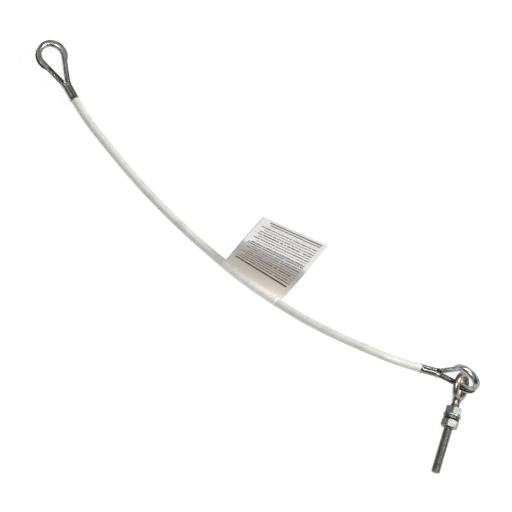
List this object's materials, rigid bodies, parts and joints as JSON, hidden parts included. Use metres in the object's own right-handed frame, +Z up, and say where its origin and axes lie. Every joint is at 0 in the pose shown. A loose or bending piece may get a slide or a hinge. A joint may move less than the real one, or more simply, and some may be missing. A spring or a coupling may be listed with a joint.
{
  "type": "wire rope anchor sling with eye bolt",
  "caption": "White-jacketed wire rope sling with a thimble eye at each end, a folded label flag, and an eye bolt with nuts and washers linked through one eye.",
  "frame": {"origin": "on the floor under the middle of the part's footprint", "axes": "+Z up from the floor the sling lies on; the plain eye is towards -X and +Y, the eye with the bolt towards +X and -Y"},
  "size_m": [0.4848, 0.5134, 0.0589],
  "materials": {
    "rope_steel": "galvanised wire strands, dull grey",
    "white_vinyl": "smooth white vinyl, semi-gloss",
    "zinc_steel": "bright zinc-plated steel",
    "sleeve_metal": "pressed metal, satin",
    "label_sheet": "printed white film, satin",
    "bolt_steel": "zinc-plated steel, brownish grey"
  },
  "bodies": {
    "sling": {"wire_rope": "rope_steel", "cable_jacket": "white_vinyl", "left_thimble": "zinc_steel", "right_thimble": "zinc_steel", "left_ferrule": "sleeve_metal", "right_ferrule": "sleeve_metal", "label": "label_sheet"},
    "bolt": {"eye_bolt": "bolt_steel"},
    "upper_washer_body": {"flat_washer": "zinc_steel"},
    "upper_nut_body": {"upper_nut": "zinc_steel"},
    "lower_washer_body": {"lock_washer": "bolt_steel"},
    "lower_nut_body": {"lower_nut": "zinc_steel"}
  },
  "joints": [
    {"name": "bolt_swing", "type": "hinge", "parent": "sling", "child": "bolt", "pos_m": [0.2208, -0.16109, 0.02277], "axis": [0.9456, -0.3033, -0.1181], "range_deg": [-180, 100]},
    {"name": "upper_nut_travel", "type": "slide", "parent": "bolt", "child": "upper_washer_body", "axis": [-0.2805, -0.9454, -0.166], "range_m": [-0.003, 0]},
    {"name": "upper_nut_spin", "type": "hinge", "parent": "upper_washer_body", "child": "upper_nut_body", "pos_m": [0.21299, -0.18866, 0.01682], "axis": [-0.2805, -0.9454, -0.166], "range_deg": [-720, 0]},
    {"name": "lower_nut_travel", "type": "slide", "parent": "bolt", "child": "lower_washer_body", "axis": [-0.2805, -0.9454, -0.166], "range_m": [0, 0.048]},
    {"name": "lower_nut_spin", "type": "hinge", "parent": "lower_washer_body", "child": "lower_nut_body", "pos_m": [0.20881, -0.20275, 0.01435], "axis": [-0.2805, -0.9454, -0.166], "range_deg": [0, 11520]}
  ],
  "couplings": [
    {"joint": "upper_nut_travel", "follows": "upper_nut_spin", "m_per_rad": 0.00023873},
    {"joint": "lower_nut_travel", "follows": "lower_nut_spin", "m_per_rad": 0.00023873}
  ]
}
